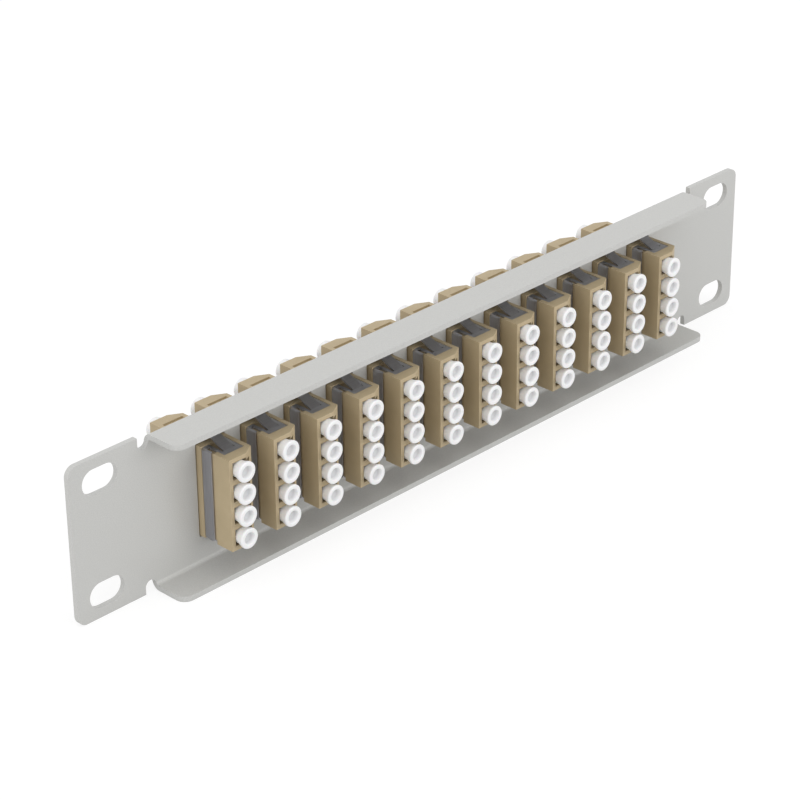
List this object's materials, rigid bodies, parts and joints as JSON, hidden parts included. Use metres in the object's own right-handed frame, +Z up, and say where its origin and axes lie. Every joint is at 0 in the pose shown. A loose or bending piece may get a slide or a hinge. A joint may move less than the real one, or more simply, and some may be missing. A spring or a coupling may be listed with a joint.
{
  "type": "fibre patch panel",
  "caption": "Low rack panel folded from sheet, with a row of fibre adapters capped at both ends, held by sprung clips, and slotted ears that screw to a narrow rack.",
  "frame": {"origin": "centre of the plane of the ears' rear faces, midway between the four rack slots", "axes": "+Z up, front of the panel towards -Y, rear with the folded lips towards +Y, +X along the row to the right as seen from the front"},
  "size_m": [0.254, 0.0348, 0.044],
  "materials": {
    "powder_coat": "fine light grey powder coat",
    "beige_housing": "moulded beige plastic, satin",
    "clip_steel": "rolled spring steel",
    "sleeve_ceramic": "polished white ceramic",
    "white_cap": "soft white moulded plastic"
  },
  "bodies": {
    "root": {"panel_plate": "powder_coat", "adapter_01_rear_half": "beige_housing", "adapter_01_front_half": "beige_housing", "adapter_02_rear_half": "beige_housing", "adapter_02_front_half": "beige_housing", "adapter_03_rear_half": "beige_housing", "adapter_03_front_half": "beige_housing", "adapter_04_rear_half": "beige_housing", "adapter_04_front_half": "beige_housing", "adapter_05_rear_half": "beige_housing", "adapter_05_front_half": "beige_housing", "adapter_06_rear_half": "beige_housing", "adapter_06_front_half": "beige_housing", "adapter_07_rear_half": "beige_housing", "adapter_07_front_half": "beige_housing", "adapter_08_rear_half": "beige_housing", "adapter_08_front_half": "beige_housing", "adapter_09_rear_half": "beige_housing", "adapter_09_front_half": "beige_housing", "adapter_10_rear_half": "beige_housing", "adapter_10_front_half": "beige_housing", "adapter_11_rear_half": "beige_housing", "adapter_11_front_half": "beige_housing", "adapter_12_rear_half": "beige_housing", "adapter_12_front_half": "beige_housing", "retaining_clips": "clip_steel", "sleeve_holders": "beige_housing", "alignment_sleeves": "sleeve_ceramic"},
    "rear_cap_row_01": {"rear_caps_01": "white_cap"},
    "front_cap_row_01": {"front_caps_01": "white_cap"},
    "rear_cap_row_02": {"rear_caps_02": "white_cap"},
    "front_cap_row_02": {"front_caps_02": "white_cap"},
    "rear_cap_row_03": {"rear_caps_03": "white_cap"},
    "front_cap_row_03": {"front_caps_03": "white_cap"},
    "rear_cap_row_04": {"rear_caps_04": "white_cap"},
    "front_cap_row_04": {"front_caps_04": "white_cap"},
    "rear_cap_row_05": {"rear_caps_05": "white_cap"},
    "front_cap_row_05": {"front_caps_05": "white_cap"},
    "rear_cap_row_06": {"rear_caps_06": "white_cap"},
    "front_cap_row_06": {"front_caps_06": "white_cap"},
    "rear_cap_row_07": {"rear_caps_07": "white_cap"},
    "front_cap_row_07": {"front_caps_07": "white_cap"},
    "rear_cap_row_08": {"rear_caps_08": "white_cap"},
    "front_cap_row_08": {"front_caps_08": "white_cap"},
    "rear_cap_row_09": {"rear_caps_09": "white_cap"},
    "front_cap_row_09": {"front_caps_09": "white_cap"},
    "rear_cap_row_10": {"rear_caps_10": "white_cap"},
    "front_cap_row_10": {"front_caps_10": "white_cap"},
    "rear_cap_row_11": {"rear_caps_11": "white_cap"},
    "front_cap_row_11": {"front_caps_11": "white_cap"},
    "rear_cap_row_12": {"rear_caps_12": "white_cap"},
    "front_cap_row_12": {"front_caps_12": "white_cap"}
  },
  "joints": [
    {"name": "rear_caps_01_pull", "type": "slide", "parent": "root", "child": "rear_cap_row_01", "axis": [0, 1, 0], "range_m": [0, 0.01]},
    {"name": "front_caps_01_pull", "type": "slide", "parent": "root", "child": "front_cap_row_01", "axis": [0, -1, 0], "range_m": [0, 0.01]},
    {"name": "rear_caps_02_pull", "type": "slide", "parent": "root", "child": "rear_cap_row_02", "axis": [0, 1, 0], "range_m": [0, 0.01]},
    {"name": "front_caps_02_pull", "type": "slide", "parent": "root", "child": "front_cap_row_02", "axis": [0, -1, 0], "range_m": [0, 0.01]},
    {"name": "rear_caps_03_pull", "type": "slide", "parent": "root", "child": "rear_cap_row_03", "axis": [0, 1, 0], "range_m": [0, 0.01]},
    {"name": "front_caps_03_pull", "type": "slide", "parent": "root", "child": "front_cap_row_03", "axis": [0, -1, 0], "range_m": [0, 0.01]},
    {"name": "rear_caps_04_pull", "type": "slide", "parent": "root", "child": "rear_cap_row_04", "axis": [0, 1, 0], "range_m": [0, 0.01]},
    {"name": "front_caps_04_pull", "type": "slide", "parent": "root", "child": "front_cap_row_04", "axis": [0, -1, 0], "range_m": [0, 0.01]},
    {"name": "rear_caps_05_pull", "type": "slide", "parent": "root", "child": "rear_cap_row_05", "axis": [0, 1, 0], "range_m": [0, 0.01]},
    {"name": "front_caps_05_pull", "type": "slide", "parent": "root", "child": "front_cap_row_05", "axis": [0, -1, 0], "range_m": [0, 0.01]},
    {"name": "rear_caps_06_pull", "type": "slide", "parent": "root", "child": "rear_cap_row_06", "axis": [0, 1, 0], "range_m": [0, 0.01]},
    {"name": "front_caps_06_pull", "type": "slide", "parent": "root", "child": "front_cap_row_06", "axis": [0, -1, 0], "range_m": [0, 0.01]},
    {"name": "rear_caps_07_pull", "type": "slide", "parent": "root", "child": "rear_cap_row_07", "axis": [0, 1, 0], "range_m": [0, 0.01]},
    {"name": "front_caps_07_pull", "type": "slide", "parent": "root", "child": "front_cap_row_07", "axis": [0, -1, 0], "range_m": [0, 0.01]},
    {"name": "rear_caps_08_pull", "type": "slide", "parent": "root", "child": "rear_cap_row_08", "axis": [0, 1, 0], "range_m": [0, 0.01]},
    {"name": "front_caps_08_pull", "type": "slide", "parent": "root", "child": "front_cap_row_08", "axis": [0, -1, 0], "range_m": [0, 0.01]},
    {"name": "rear_caps_09_pull", "type": "slide", "parent": "root", "child": "rear_cap_row_09", "axis": [0, 1, 0], "range_m": [0, 0.01]},
    {"name": "front_caps_09_pull", "type": "slide", "parent": "root", "child": "front_cap_row_09", "axis": [0, -1, 0], "range_m": [0, 0.01]},
    {"name": "rear_caps_10_pull", "type": "slide", "parent": "root", "child": "rear_cap_row_10", "axis": [0, 1, 0], "range_m": [0, 0.01]},
    {"name": "front_caps_10_pull", "type": "slide", "parent": "root", "child": "front_cap_row_10", "axis": [0, -1, 0], "range_m": [0, 0.01]},
    {"name": "rear_caps_11_pull", "type": "slide", "parent": "root", "child": "rear_cap_row_11", "axis": [0, 1, 0], "range_m": [0, 0.01]},
    {"name": "front_caps_11_pull", "type": "slide", "parent": "root", "child": "front_cap_row_11", "axis": [0, -1, 0], "range_m": [0, 0.01]},
    {"name": "rear_caps_12_pull", "type": "slide", "parent": "root", "child": "rear_cap_row_12", "axis": [0, 1, 0], "range_m": [0, 0.01]},
    {"name": "front_caps_12_pull", "type": "slide", "parent": "root", "child": "front_cap_row_12", "axis": [0, -1, 0], "range_m": [0, 0.01]}
  ]
}
